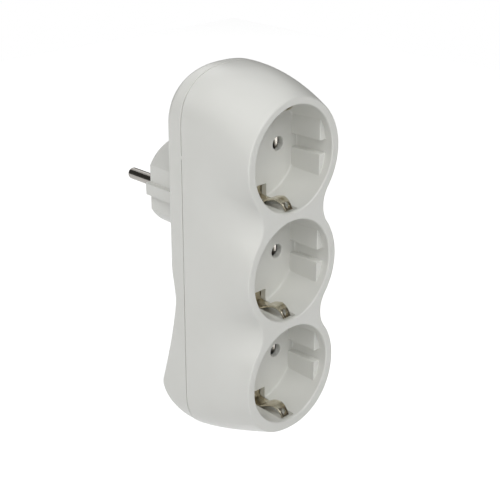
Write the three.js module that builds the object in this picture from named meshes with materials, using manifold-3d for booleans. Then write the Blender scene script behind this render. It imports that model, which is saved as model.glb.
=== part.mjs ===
// Triple socket adapter: three earthed round sockets in a vertical row on a body that plugs into one socket.
// Millimetres. The origin is the centre of the plug's end face, +Y points into the wall, +Z points up,
// and the sockets look along -Y.

import * as THREE from 'three';
import { mergeVertices } from 'three/addons/utils/BufferGeometryUtils.js';
import Module from 'manifold-3d';

const wasm = await Module();
wasm.setup();

// Overall arrangement, with depths measured from the front face
const socketPitch = 43.8;
const plugAboveMiddle = 21;
const frontDepth = 33.7;
const backDepth = 42.3;
const bossHeight = 22.2;
const wall = 2.2;

// Outline where the two mouldings meet
const seamHalfWidth = 25.2;
const shoulderAboveTop = 9.3;
const crownHeight = 21.2;
const hipBelowBottom = 11.8;
const chinHeight = 21.3;
const seamRoundness = 2.62;
const seamChamfer = 0.35;
const seamLipHeight = 2;
const seamLipWall = 1;

// Three-lobed front face
const lobeRadius = 23.3;
const waistHalfWidth = 15.3;
const topLobeReach = 23.4;
const bottomLobeReach = 24.2;
const endLobeRoundness = 2.12;
const faceEdgeRadius = 0.9;
const waistFade = 2.5;
const crownRise = 1.65;
const chinRise = 1.15;

// Back of the rear cover
const backEdgeRadius = 2.8;
const footDepth = 49.4;
const footStartBelowMiddle = 55.6;
const footRampPower = 1.25;
const waistDepth = 40.9;
const waistBelowMiddle = 17.5;
const waistReach = 15;
const crownEdgeDepth = 8.2;
const crownEdgeHeight = 6.5;
const chinEdgeDepth = 14;
const chinEdgeHeight = 12.5;

// Socket wells
const openingRadius = 20.1;
const floorRadius = 19.6;
const wellDepth = 17.9;
const lipRadius = 0.9;
const wellWall = 2;
const floorThickness = 2.5;
const pinSpacing = 19;
const pinHoleRadius = 2.75;

// Guide ribs on the left and right walls of each well
const ribFlat = 16.75;
const ribGrooveHalf = 2.6;
const ribFrontDepth = 4;
const ribRampDepth = 1.9;

// Slots and notches for the earth springs
const slotHalfWidth = 3.3;
const slotStart = 14.2;
const notchRadius = 21.2;
const notchFrontDepth = 1.4;

// Plug boss and pins
const bossRadius = 18.45;
const bossFlat = 16.1;
const tongueHalfHeight = 2.3;
const bossEndFlat = 15.7;
const bossDraft = 0.3;
const bossRimRadius = 1.8;
const bossWall = 2.4;
const bossEndThickness = 4;
const pinRadius = 2.4;
const pinLength = 19;
const pinNoseLength = 2;
const pinSleeveWall = 1.8;
const pinSleeveLength = 12;
const rivetRadius = 1.5;
const rivetHeadRadius = 2.4;
const rivetHeadThickness = 0.7;

// Earth springs: along the wall of the well, in to where they touch a plug, and out to a tip with a hole
const springWidth = 6;
const springThickness = 0.7;
const springWallGap = 0.1;
const springSeatInset = 0.7;
const springBendDepth = 14.6;
const springKneeDepth = 12.6;
const springKneeRadius = 18.4;
const springTouchDepth = 8.6;
const springTouchRadius = 17;
const springHeelDepth = 6.6;
const springHeelRadius = 18;
const springTipDepth = 4.8;
const springTipRadius = 20.2;
const springHoleRadius = 0.95;
const springBendRadius = 1.2;

// Live and neutral contacts
const clipWidth = 6;
const clipThickness = 0.6;
const clipSetback = 0.5;
const clipGripReach = 3.5;
const clipGripTaper = 4;
const clipPinch = 0.1;
const clipPlay = 1;
const clipBackGap = 2.6;
const railHeight = 8;
const railSetback = 1;
const stripThickness = 0.8;
const tabHalfHeight = 4;

// Earth path from the springs to the plug
const earthRailWidth = 5.2;
const earthRailEndInset = 6;
const plugEarthWidth = 5.4;
const plugEarthRadius = 16.6;
const plugEarthFootReach = 8;
const plugEarthEndSetback = 1.6;
const plugEarthNotchEnd = 1;
const plugEarthNotchRoot = 1.2;

// Moulded rests for the contacts
const chamberWall = 1.2;
const holdingRibWall = 1.6;
const holdingRibOffset = 12;

// Screws
const screwRadius = 1.5;
const screwHeadRadius = 2.9;
const screwHeadHeight = 2.2;
const screwLength = 14;
const screwHeadRim = 1.2;
const screwPointLength = 2;
const screwPointRadius = 0.6;
const screwPostWall = 1.9;
const screwSeatWall = 0.95;
const screwSinkDepth = 3.4;
const topScrewInset = 9;
const topScrewBelowCrown = 9.9;
const lowerScrewInset = 6.3;
const crossSlotWidth = 0.9;
const crossSlotLength = 3.6;
const crossSlotDepth = 1.2;

// Clearances
const fitGap = 0.3;
const seatGap = 0.2;

// Smallest facet kept after cuts and joins
const finestDetail = 0.008;

// Smoothness of the curved surfaces
const skinDetail = { cap: 9, side: 30 };
const hollowDetail = { cap: 5, side: 14 };
const wellSegments = 48;
const wellBackSegments = 28;
const pinSegments = 24;
const smallSegments = 12;
const bodySteps = 7;
const hollowSteps = 4;
const edgeSteps = 3;
const backEdgeSteps = 4;
const hollowEdgeSteps = 2;
const bendSteps = 3;
const noseSteps = 4;

// Values that follow from the sizes above
const endDepth = backDepth + bossHeight;
const frontY = -endDepth;
const middleZ = -plugAboveMiddle;
const topZ = middleZ + socketPitch;
const bottomZ = middleZ - socketPitch;
const sockets = { top: topZ, middle: middleZ, bottom: bottomZ };
const sides = { left: -1, right: 1 };
const ends = { upper: 1, lower: -1 };
const pinX = pinSpacing / 2;
const floorBack = wellDepth + floorThickness;
const springBaseDepth = floorBack + seatGap;
const earthRailDepth = springBaseDepth + springThickness + seatGap;
const clipFrontDepth = floorBack + clipSetback;
const clipBackDepth = backDepth - wall - clipBackGap;
const clipLeafOffset = pinRadius + clipPlay + clipThickness / 2;
const railX = pinX + clipLeafOffset + clipThickness / 2 + seatGap + stripThickness / 2;
const railBackDepth = clipBackDepth - railSetback;
const railFrontDepth = railBackDepth - railHeight;
const tabDepth = railBackDepth - stripThickness;
const screwPostRadius = screwRadius + screwPostWall;
const screwSeatRadius = screwHeadRadius + fitGap;

const plastic = { color: 0xd9dad4, roughness: 0.42, metalness: 0 };
const nickel = { color: 0xb9b7b0, roughness: 0.25, metalness: 1 };
const tinnedBrass = { color: 0xa89a7a, roughness: 0.32, metalness: 1 };
const brass = { color: 0xb8964e, roughness: 0.35, metalness: 1 };
const steel = { color: 0x8f9296, roughness: 0.4, metalness: 1 };

// Solids

// A solid from a closed geometry, turned right side out where a mirrored profile left it inside out
function solidOf(geometry) {
  const bare = geometry.clone();
  bare.deleteAttribute('normal');
  bare.deleteAttribute('uv');
  const merged = mergeVertices(bare, 1e-5);
  const vertProperties = new Float32Array(merged.attributes.position.array);
  const triVerts = new Uint32Array(merged.index.array);
  const solid = new wasm.Manifold(new wasm.Mesh({ numProp: 3, vertProperties, triVerts }));
  if (solid.volume() > 0) return solid;
  const inward = triVerts.slice();
  for (let i = 0; i < inward.length; i += 3) {
    [inward[i + 1], inward[i + 2]] = [inward[i + 2], inward[i + 1]];
  }
  return new wasm.Manifold(new wasm.Mesh({ numProp: 3, vertProperties, triVerts: inward }));
}

function geometryOf(solid) {
  const mesh = solid.simplify(finestDetail).getMesh();
  const geometry = new THREE.BufferGeometry();
  geometry.setAttribute('position', new THREE.BufferAttribute(mesh.vertProperties, 3));
  geometry.setIndex(new THREE.BufferAttribute(mesh.triVerts, 1));
  geometry.computeVertexNormals();
  return geometry;
}

function joined(solids) {
  return solids.reduce((whole, solid) => whole.add(solid));
}

// A block between two corners in any order, with y given as a depth behind the front face
function block(x0, x1, depth0, depth1, z0, z1) {
  const geometry = new THREE.BoxGeometry(Math.abs(x1 - x0), Math.abs(depth1 - depth0), Math.abs(z1 - z0));
  geometry.translate((x0 + x1) / 2, frontY + (depth0 + depth1) / 2, (z0 + z1) / 2);
  return solidOf(geometry);
}

// A turned solid whose axis runs front to back through (x, z). The profile lists [radius, depth].
function turned(profile, segments, x, z) {
  const points = profile.map(([radius, depth]) => new THREE.Vector2(radius, depth));
  const geometry = new THREE.LatheGeometry(points, segments);
  geometry.translate(x, frontY, z);
  return solidOf(geometry);
}

function cylinder(radius, depth0, depth1, segments, x, z) {
  return turned([[0, depth0], [radius, depth0], [radius, depth1], [0, depth1]], segments, x, z);
}

// A shape drawn in depth (first axis) and height (second axis), extruded to a width along X
function extrudedAlongX(shape, width, x, z) {
  const geometry = new THREE.ExtrudeGeometry(shape, { depth: width, bevelEnabled: false });
  geometry.translate(0, 0, -width / 2);
  const basis = new THREE.Matrix4().makeBasis(
    new THREE.Vector3(0, 1, 0), new THREE.Vector3(0, 0, 1), new THREE.Vector3(1, 0, 0));
  geometry.applyMatrix4(basis);
  geometry.translate(x, frontY, z);
  return solidOf(geometry);
}

// A shape drawn in X (first axis) and depth (second axis), extruded to a height along Z
function extrudedAlongZ(shape, height, x, z) {
  const geometry = new THREE.ExtrudeGeometry(shape, { depth: height, bevelEnabled: false });
  geometry.translate(x, frontY, z - height / 2);
  return solidOf(geometry);
}

function polygon(points) {
  return new THREE.Shape(points.map(([a, b]) => new THREE.Vector2(a, b)));
}

// The outline of a bent strip of even thickness, from the corners of its centre line and its bend radius
function bentStrip(corners, thickness, bendRadius) {
  const path = new THREE.Path();
  const points = corners.map(([a, b]) => new THREE.Vector2(a, b));
  path.moveTo(points[0].x, points[0].y);
  for (let i = 1; i + 1 < points.length; i++) {
    const back = points[i - 1].clone().sub(points[i]);
    const ahead = points[i + 1].clone().sub(points[i]);
    const reach = Math.min(bendRadius, back.length() / 2, ahead.length() / 2);
    const start = points[i].clone().addScaledVector(back.normalize(), reach);
    const end = points[i].clone().addScaledVector(ahead.normalize(), reach);
    path.lineTo(start.x, start.y);
    path.quadraticCurveTo(points[i].x, points[i].y, end.x, end.y);
  }
  path.lineTo(points.at(-1).x, points.at(-1).y);
  const line = path.getPoints(bendSteps);
  const near = [];
  const far = [];
  line.forEach((point, i) => {
    const before = line[Math.max(i - 1, 0)];
    const after = line[Math.min(i + 1, line.length - 1)];
    const along = after.clone().sub(before).normalize();
    const across = new THREE.Vector2(-along.y, along.x).multiplyScalar(thickness / 2);
    near.push(point.clone().add(across));
    far.push(point.clone().sub(across));
  });
  return new THREE.Shape([...far, ...near.reverse()]);
}

// Lofted mouldings. A section is a ring of {x, z} that starts at the bottom, runs up the right side
// to the top and comes down the left side, so that point i and point count - i mirror each other.

function capPoint(halfWidth, height, centreZ, roundness, angle) {
  const power = 2 / roundness;
  const across = Math.max(Math.cos(angle), 0) ** power;
  const up = Math.abs(Math.sin(angle)) ** power * Math.sign(Math.sin(angle));
  return { x: halfWidth * across, z: centreZ + height * up };
}

// Half-width of the lobed face at a height above the middle socket's centre
function lobedHalfWidth(height) {
  const nearest = Math.min(Math.abs(height), Math.abs(Math.abs(height) - socketPitch));
  const half = socketPitch / 2;
  const rise = lobeRadius ** 2 - waistHalfWidth ** 2 - half ** 2;
  const filletRadius = -rise / (2 * (lobeRadius - waistHalfWidth));
  const filletX = waistHalfWidth + filletRadius;
  const tangentHeight = lobeRadius * half / (lobeRadius + filletRadius);
  if (nearest < tangentHeight) {
    return Math.sqrt(lobeRadius ** 2 - nearest ** 2);
  }
  return filletX - Math.sqrt(filletRadius ** 2 - (half - nearest) ** 2);
}

// The outline of the face, u = 0, that turns into the outline of the seam, u = 1
function halfOutline(u, detail) {
  const points = [];
  const lobed = (1 - u) ** waistFade;
  const crown = 1 - (1 - u) ** crownRise;
  const chin = 1 - (1 - u) ** chinRise;
  const halfWidth = THREE.MathUtils.lerp(lobeRadius, seamHalfWidth, u);
  const roundness = THREE.MathUtils.lerp(endLobeRoundness, seamRoundness, u);
  const topCentre = topZ + shoulderAboveTop * crown;
  const bottomCentre = bottomZ - hipBelowBottom * chin;
  const topHeight = THREE.MathUtils.lerp(topLobeReach, crownHeight, crown);
  const bottomHeight = THREE.MathUtils.lerp(bottomLobeReach, chinHeight, chin);
  for (let i = 0; i < detail.cap; i++) {
    const angle = (i / detail.cap - 1) * Math.PI / 2;
    points.push(capPoint(halfWidth, bottomHeight, bottomCentre, roundness, angle));
  }
  for (let i = 0; i <= detail.side; i++) {
    const v = i / detail.side;
    const faceHeight = THREE.MathUtils.lerp(-socketPitch, socketPitch, v);
    const drop = (lobeRadius - lobedHalfWidth(faceHeight)) * lobed;
    points.push({ x: halfWidth - drop, z: THREE.MathUtils.lerp(bottomCentre, topCentre, v) });
  }
  for (let i = 1; i <= detail.cap; i++) {
    const angle = i / detail.cap * Math.PI / 2;
    points.push(capPoint(halfWidth, topHeight, topCentre, roundness, angle));
  }
  return points;
}

// The whole ring, moved inwards along its own normal by an inset that may vary with the height
function section(u, insetAt, detail) {
  const half = halfOutline(u, detail);
  const moved = half.map((point, i) => {
    const before = half[i - 1] ?? { x: -half[1].x, z: half[1].z };
    const after = half[i + 1] ?? { x: -half[i - 1].x, z: half[i - 1].z };
    const length = Math.hypot(after.x - before.x, after.z - before.z);
    const normal = { x: (after.z - before.z) / length, z: -(after.x - before.x) / length };
    const inset = insetAt(point.z);
    return { x: Math.max(point.x - normal.x * inset, 0), z: point.z - normal.z * inset };
  });
  const mirrored = moved.slice(1, -1).reverse().map((point) => ({ x: -point.x, z: point.z }));
  return [...moved, ...mirrored];
}

// A closed solid through rings of {x, z, depth}, with ruled ends
function skin(rings) {
  const count = rings[0].length;
  const positions = [];
  const index = [];
  rings.forEach((ring) => ring.forEach((point) => positions.push(point.x, frontY + point.depth, point.z)));
  for (let r = 0; r + 1 < rings.length; r++) {
    for (let i = 0; i < count; i++) {
      const a = r * count + i;
      const b = r * count + (i + 1) % count;
      index.push(a, a + count, b + count, a, b + count, b);
    }
  }
  const last = (rings.length - 1) * count;
  for (let i = 0; i < count / 2; i++) {
    const mirror = (count - i) % count;
    const mirrorNext = count - i - 1;
    const quad = [i, i + 1, mirrorNext, mirror];
    const triangles = [[0, 1, 2], [0, 2, 3]];
    triangles.forEach(([p, q, s]) => {
      const [a, b, c] = [quad[p], quad[q], quad[s]];
      if (a === b || b === c || a === c) return;
      index.push(a, b, c);
      index.push(last + a, last + c, last + b);
    });
  }
  const geometry = new THREE.BufferGeometry();
  geometry.setAttribute('position', new THREE.Float32BufferAttribute(positions, 3));
  geometry.setIndex(index);
  return solidOf(geometry);
}

function flatRing(u, inset, depth, detail) {
  return section(u, () => inset, detail).map((point) => ({ ...point, depth }));
}

// Front housing

function frontSkin() {
  const rings = [];
  for (let i = 0; i <= edgeSteps; i++) {
    const angle = i / edgeSteps * Math.PI / 2;
    const inset = faceEdgeRadius * (1 - Math.sin(angle));
    const depth = faceEdgeRadius * (1 - Math.cos(angle));
    rings.push(flatRing(depth / frontDepth, inset, depth, skinDetail));
  }
  const bodyEnd = frontDepth - seamChamfer;
  for (let i = 1; i <= bodySteps; i++) {
    const depth = THREE.MathUtils.lerp(faceEdgeRadius, bodyEnd, i / bodySteps);
    rings.push(flatRing(depth / frontDepth, 0, depth, skinDetail));
  }
  rings.push(flatRing(1, seamChamfer, frontDepth, skinDetail));
  return skin(rings);
}

function frontHollow() {
  const rings = [];
  for (let i = 0; i <= hollowSteps; i++) {
    const depth = THREE.MathUtils.lerp(wall, frontDepth, i / hollowSteps);
    rings.push(flatRing(depth / frontDepth, wall, depth, hollowDetail));
  }
  rings.push(flatRing(1, wall, frontDepth + wall, hollowDetail));
  return skin(rings);
}

function wellCutter(z) {
  const mouth = [[0, wellDepth], [floorRadius, wellDepth]];
  for (let i = 0; i <= edgeSteps; i++) {
    const angle = i / edgeSteps * Math.PI / 2;
    const radius = openingRadius + lipRadius * (1 - Math.cos(angle));
    mouth.push([radius, lipRadius * (1 - Math.sin(angle))]);
  }
  mouth.push([openingRadius + lipRadius, -wall], [0, -wall]);
  let cutter = turned(mouth, wellSegments, 0, z);
  for (const side of Object.values(sides)) {
    for (const half of Object.values(ends)) {
      cutter = cutter.subtract(guideRib(side, half, z));
    }
  }
  return cutter;
}

// One of the four guide ribs of a well, with a ramp at its front
function guideRib(side, half, z) {
  const reach = side * (openingRadius + lipRadius);
  const shape = polygon([
    [side * ribFlat, wellDepth + wall],
    [side * ribFlat, ribFrontDepth],
    [side * openingRadius, ribRampDepth],
    [reach, ribRampDepth],
    [reach, wellDepth + wall],
  ]);
  const height = openingRadius - ribGrooveHalf;
  return extrudedAlongZ(shape, height, 0, z + half * (ribGrooveHalf + height / 2));
}

// The notch behind an earth spring, which opens through the floor as a slot
function springSlot(direction, z) {
  const near = z + direction * slotStart;
  const far = z + direction * notchRadius;
  return block(-slotHalfWidth, slotHalfWidth, notchFrontDepth, floorBack + wall, near, far);
}

// Walls above, below and outside a contact clip. The outer one ends just under the contact rail.
function clipChamber(side, z) {
  const inner = side * (pinX - clipLeafOffset);
  const rest = side * (railX - stripThickness / 2);
  const outer = rest + side * chamberWall;
  const front = floorBack - wall / 2;
  const back = railFrontDepth - seatGap;
  const near = clipWidth / 2 + fitGap;
  const far = near + chamberWall;
  return joined([
    block(inner, outer, front, back, z + near, z + far),
    block(inner, outer, front, back, z - near, z - far),
    block(rest, outer, front, back, z - far, z + far),
  ]);
}

function screwPlaces() {
  const topX = seamHalfWidth - topScrewInset;
  const topScrewZ = topZ + shoulderAboveTop + crownHeight - topScrewBelowCrown;
  const lowerX = seamHalfWidth - lowerScrewInset;
  const lowerScrewZ = middleZ - socketPitch / 2;
  return {
    top_left: [-topX, topScrewZ],
    top_right: [topX, topScrewZ],
    lower_left: [-lowerX, lowerScrewZ],
    lower_right: [lowerX, lowerScrewZ],
  };
}

function frontHousing() {
  const outer = frontSkin();
  const shell = outer.subtract(frontHollow());
  const inner = [];
  const cuts = [];
  for (const z of Object.values(sockets)) {
    inner.push(cylinder(openingRadius + wellWall, -wall, floorBack, wellBackSegments, 0, z));
    cuts.push(wellCutter(z), springSlot(1, z), springSlot(-1, z));
    for (const side of Object.values(sides)) {
      inner.push(clipChamber(side, z));
      cuts.push(cylinder(pinHoleRadius, wellDepth - wall, floorBack + wall, pinSegments, side * pinX, z));
    }
  }
  for (const [x, z] of Object.values(screwPlaces())) {
    inner.push(cylinder(screwPostRadius, wall, frontDepth - seatGap, smallSegments, x, z));
    cuts.push(cylinder(screwRadius + fitGap, wellDepth, frontDepth + wall, smallSegments, x, z));
  }
  const inside = joined(inner).intersect(outer);
  return shell.add(inside).subtract(joined(cuts));
}

// Rear cover

// Depth of the back at a height above the middle socket's centre
function backProfile(height) {
  if (height >= -waistBelowMiddle) {
    const share = Math.min((height + waistBelowMiddle) / waistReach, 1);
    return THREE.MathUtils.lerp(waistDepth, backDepth, eased(share));
  }
  const share = Math.min((-waistBelowMiddle - height) / (footStartBelowMiddle - waistBelowMiddle), 1);
  return THREE.MathUtils.lerp(waistDepth, footDepth, share ** footRampPower);
}

function eased(share) {
  return share * share * (3 - 2 * share);
}

// Size of the rounded back edge at a height: small along the sides, large over the crown and under the chin
function backEdge(z, side, crown, chin) {
  const up = THREE.MathUtils.clamp((z - topZ - shoulderAboveTop) / crownHeight, 0, 1);
  const down = THREE.MathUtils.clamp((bottomZ - hipBelowBottom - z) / chinHeight, 0, 1);
  return side + (crown - side) * eased(up) + (chin - side) * eased(down);
}

// A ring round the back edge at an angle, from the straight side, 0, to the flat of the back
function rearRing(angle, thickness, detail) {
  const bend = 1 - Math.cos(angle);
  const base = section(1, () => 0, detail);
  const ring = section(1, (z) => {
    return thickness + backEdge(z, backEdgeRadius, crownEdgeHeight, chinEdgeHeight) * bend;
  }, detail);
  return ring.map((point, i) => {
    const edge = backEdge(base[i].z, backEdgeRadius, crownEdgeDepth, chinEdgeDepth);
    const back = backProfile(point.z - middleZ) - thickness;
    const depth = back - edge * (1 - Math.sin(angle));
    return { ...point, depth: Math.max(depth, frontDepth + seamChamfer) };
  });
}

function rearSkin() {
  const rings = [
    flatRing(1, seamChamfer, frontDepth, skinDetail),
    flatRing(1, 0, frontDepth + seamChamfer, skinDetail),
  ];
  for (let i = 0; i <= backEdgeSteps; i++) {
    rings.push(rearRing(i / backEdgeSteps * Math.PI / 2, 0, skinDetail));
  }
  return skin(rings);
}

function rearHollow() {
  const rings = [flatRing(1, wall, frontDepth - wall, hollowDetail)];
  for (let i = 0; i <= hollowEdgeSteps; i++) {
    rings.push(rearRing(i / hollowEdgeSteps * Math.PI / 2, wall, hollowDetail));
  }
  return skin(rings);
}

// The lip inside the cover's rim that lines the two mouldings up, cut back round the front screw posts
function seamLip() {
  const outerInset = wall + fitGap;
  const innerInset = outerInset + seamLipWall;
  const tip = frontDepth - seamLipHeight;
  const root = frontDepth + seamLipHeight;
  const ring = (inset, depth) => flatRing(Math.min(depth / frontDepth, 1), inset, depth, hollowDetail);
  const band = (inset, start) => {
    const outside = skin([ring(inset, start), ring(inset, frontDepth + seatGap), ring(inset, root)]);
    const inside = skin([ring(innerInset, tip - wall), ring(innerInset, frontDepth), ring(innerInset, root + wall)]);
    return outside.subtract(inside);
  };
  const lip = band(outerInset, tip);
  const posts = Object.values(screwPlaces()).map(([x, z]) => {
    return cylinder(screwPostRadius + fitGap, frontDepth - wall - seamLipHeight, frontDepth + fitGap,
      smallSegments, x, z);
  });
  return lip.add(band(wall / 2, frontDepth + seatGap / 2)).subtract(joined(posts));
}

// Ribs across the cover that hold the contact rails down
function holdingRibs() {
  const heights = [topZ - holdingRibOffset, middleZ - holdingRibOffset, bottomZ + holdingRibOffset];
  return heights.map((z) => block(-seamHalfWidth, seamHalfWidth, railBackDepth + fitGap,
    backProfile(z - middleZ) - wall / 2, z - holdingRibWall / 2, z + holdingRibWall / 2));
}

// The plug boss: a slightly tapered round with a rounded rim, flats at its sides and a tongue along each flat
function plugBoss(depth0) {
  const rim = (reach) => {
    const points = [];
    for (let i = 0; i <= edgeSteps; i++) {
      const angle = i / edgeSteps * Math.PI / 2;
      const bend = bossRimRadius * (1 - Math.cos(angle));
      points.push([reach - bend, endDepth - bossRimRadius * (1 - Math.sin(angle))]);
    }
    return points;
  };
  const profile = [[0, depth0], [bossRadius, depth0], ...rim(bossRadius - bossDraft), [0, endDepth]];
  let boss = turned(profile, wellSegments, 0, 0);
  for (const side of Object.values(sides)) {
    const shape = polygon([
      [side * bossFlat, depth0],
      ...rim(bossEndFlat).map(([reach, depth]) => [side * reach, depth]),
      [side * (bossRadius + wall), endDepth],
      [side * (bossRadius + wall), depth0],
    ]);
    const height = bossRadius - tongueHalfHeight;
    for (const half of Object.values(ends)) {
      boss = boss.subtract(extrudedAlongZ(shape, height, 0, half * (tongueHalfHeight + height / 2)));
    }
  }
  return boss;
}

function rearCover() {
  const outer = rearSkin().add(plugBoss(backDepth - wall));
  const hollows = [
    rearHollow(),
    cylinder(bossEndFlat - bossWall, backDepth - 2 * wall, endDepth - bossEndThickness, wellSegments, 0, 0),
  ];
  const inner = holdingRibs();
  const cuts = [];
  for (const side of Object.values(sides)) {
    const x = side * pinX;
    inner.push(cylinder(pinRadius + fitGap + pinSleeveWall, endDepth - pinSleeveLength, endDepth - wall,
      pinSegments, x, 0));
    cuts.push(cylinder(pinRadius + fitGap, backDepth - 2 * wall, endDepth + wall, pinSegments, x, 0));
  }
  for (const direction of Object.values(ends)) {
    const near = direction * (plugEarthRadius - stripThickness / 2 - fitGap);
    const far = direction * (plugEarthRadius + stripThickness / 2 + fitGap);
    const half = plugEarthWidth / 2 + fitGap;
    cuts.push(block(-half, half, backDepth - 2 * wall, endDepth - plugEarthNotchEnd, near, far));
    cuts.push(block(-half, half, backDepth + plugEarthNotchRoot, endDepth - plugEarthNotchEnd,
      near, direction * (bossRadius + wall)));
  }
  for (const [x, z] of Object.values(screwPlaces())) {
    const back = backProfile(z - middleZ);
    inner.push(cylinder(screwSeatRadius + screwSeatWall, frontDepth + seatGap, back - wall / 2,
      smallSegments, x, z));
    cuts.push(cylinder(screwRadius + fitGap, frontDepth - wall, back + wall, smallSegments, x, z));
    cuts.push(cylinder(screwSeatRadius, back - screwSinkDepth, back + wall, smallSegments, x, z));
  }
  const inside = joined(inner).intersect(outer).add(seamLip());
  return outer.subtract(joined(hollows)).add(inside).subtract(joined(cuts));
}

// Metal parts

function plugPin(side) {
  const tip = endDepth + pinLength;
  const headBack = tabDepth - seatGap;
  const shoulder = tabDepth + stripThickness + seatGap;
  const profile = [
    [0, headBack - rivetHeadThickness],
    [rivetHeadRadius, headBack - rivetHeadThickness],
    [rivetHeadRadius, headBack],
    [rivetRadius, headBack],
    [rivetRadius, shoulder],
    [pinRadius, shoulder],
  ];
  for (let i = 0; i <= noseSteps; i++) {
    const angle = i / noseSteps * Math.PI / 2;
    profile.push([pinRadius * Math.cos(angle), tip - pinNoseLength * (1 - Math.sin(angle))]);
  }
  return turned(profile, pinSegments, side * pinX, 0);
}

function contactRail(side) {
  const x = side * railX;
  const half = stripThickness / 2;
  const strip = block(x - half, x + half, railFrontDepth, railBackDepth,
    bottomZ - tabHalfHeight, topZ + tabHalfHeight);
  const tab = block(side * (pinX - tabHalfHeight), x + side * half, tabDepth, tabDepth + stripThickness,
    -tabHalfHeight, tabHalfHeight);
  const hole = cylinder(rivetRadius + seatGap, tabDepth - stripThickness, tabDepth + 2 * stripThickness,
    smallSegments, side * pinX, 0);
  return strip.add(tab).subtract(hole);
}

// A folded spring that grips a pin from both sides, open to the front
function contactClip(side, z) {
  const grip = pinRadius - clipPinch + clipThickness / 2;
  const flare = pinHoleRadius + clipThickness;
  const gripDepth = clipFrontDepth + clipGripReach;
  const leaf = [
    [clipLeafOffset, clipBackDepth],
    [clipLeafOffset, gripDepth + clipGripTaper],
    [grip, gripDepth],
    [flare, clipFrontDepth + clipThickness / 2],
  ];
  const other = leaf.map(([offset, depth]) => [-offset, depth]);
  const shape = bentStrip([...other.reverse(), ...leaf], clipThickness, springBendRadius);
  return extrudedAlongZ(shape, clipWidth, side * pinX, z);
}

function earthBracket(z) {
  const wallRun = floorRadius + springWallGap;
  const arm = [
    [springBaseDepth + springThickness / 2, floorRadius - springSeatInset],
    [wellDepth - springThickness, wallRun],
    [springBendDepth, wallRun],
    [springKneeDepth, springKneeRadius],
    [springTouchDepth, springTouchRadius],
    [springHeelDepth, springHeelRadius],
    [springTipDepth, springTipRadius],
  ];
  const mirrored = arm.map(([depth, radius]) => [depth, -radius]).reverse();
  const shape = bentStrip([...mirrored, ...arm], springThickness, springBendRadius);
  const holeRadius = (springHeelRadius + springTipRadius) / 2;
  const holes = Object.values(ends).map((end) => {
    return cylinder(springHoleRadius, springTipDepth - springWidth / 2, springHeelDepth + springThickness,
      smallSegments, 0, z + end * holeRadius);
  });
  return extrudedAlongX(shape, springWidth, 0, z).subtract(joined(holes));
}

function earthRail() {
  const half = earthRailWidth / 2;
  const reach = floorRadius - earthRailEndInset;
  return block(-half, half, earthRailDepth, earthRailDepth + stripThickness, bottomZ - reach, topZ + reach);
}

function plugEarthStrip(direction) {
  const foot = earthRailDepth + stripThickness + seatGap + stripThickness / 2;
  const corners = [
    [foot, direction * (plugEarthRadius - plugEarthFootReach)],
    [foot, direction * plugEarthRadius],
    [endDepth - plugEarthEndSetback, direction * plugEarthRadius],
  ];
  return extrudedAlongX(bentStrip(corners, stripThickness, springBendRadius), plugEarthWidth, 0, 0);
}

// A screw with a rounded head and a cross slot
function housingScrew(x, z) {
  const seat = backProfile(z - middleZ) - screwSinkDepth + seatGap;
  const top = seat + screwHeadHeight;
  const profile = [
    [0, seat - screwLength],
    [screwPointRadius, seat - screwLength],
    [screwRadius, seat - screwLength + screwPointLength],
    [screwRadius, seat],
    [screwHeadRadius, seat],
  ];
  for (let i = 0; i <= edgeSteps; i++) {
    const angle = i / edgeSteps * Math.PI / 2;
    const crown = (screwHeadHeight - screwHeadRim) * Math.sin(angle);
    profile.push([screwHeadRadius * Math.cos(angle), seat + screwHeadRim + crown]);
  }
  const half = crossSlotWidth / 2;
  const reach = crossSlotLength / 2;
  const cross = joined([
    block(x - reach, x + reach, top - crossSlotDepth, top + wall, z - half, z + half),
    block(x - half, x + half, top - crossSlotDepth, top + wall, z - reach, z + reach),
  ]);
  return turned(profile, smallSegments, x, z).subtract(cross);
}

// Assembly

const group = new THREE.Group();

function place(name, solid, finish) {
  const mesh = new THREE.Mesh(geometryOf(solid), new THREE.MeshStandardMaterial(finish));
  mesh.name = name;
  group.add(mesh);
}

place('front_housing', frontHousing(), plastic);
place('rear_cover', rearCover(), plastic);
for (const [sideName, side] of Object.entries(sides)) {
  place(`plug_pin_${sideName}`, plugPin(side), nickel);
  place(`contact_rail_${sideName}`, contactRail(side), brass);
  for (const [socketName, z] of Object.entries(sockets)) {
    place(`contact_clip_${sideName}_${socketName}`, contactClip(side, z), brass);
  }
}
for (const [socketName, z] of Object.entries(sockets)) {
  place(`earth_bracket_${socketName}`, earthBracket(z), tinnedBrass);
}
place('earth_rail', earthRail(), brass);
for (const [endName, direction] of Object.entries(ends)) {
  place(`plug_earth_strip_${endName}`, plugEarthStrip(direction), tinnedBrass);
}
for (const [name, [x, z]] of Object.entries(screwPlaces())) {
  place(`housing_screw_${name}`, housingScrew(x, z), steel);
}

export default group;
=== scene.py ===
# Triple socket adapter: a pale three-lobed moulding with three recessed sockets and a round plug on its back.
# Shapes are worked out in millimetres, with depths measured from the front face, and made metres at the end.

from math import cos, hypot, pi, radians, sin, sqrt

import bmesh
import bpy
from mathutils import Matrix, Vector


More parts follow.
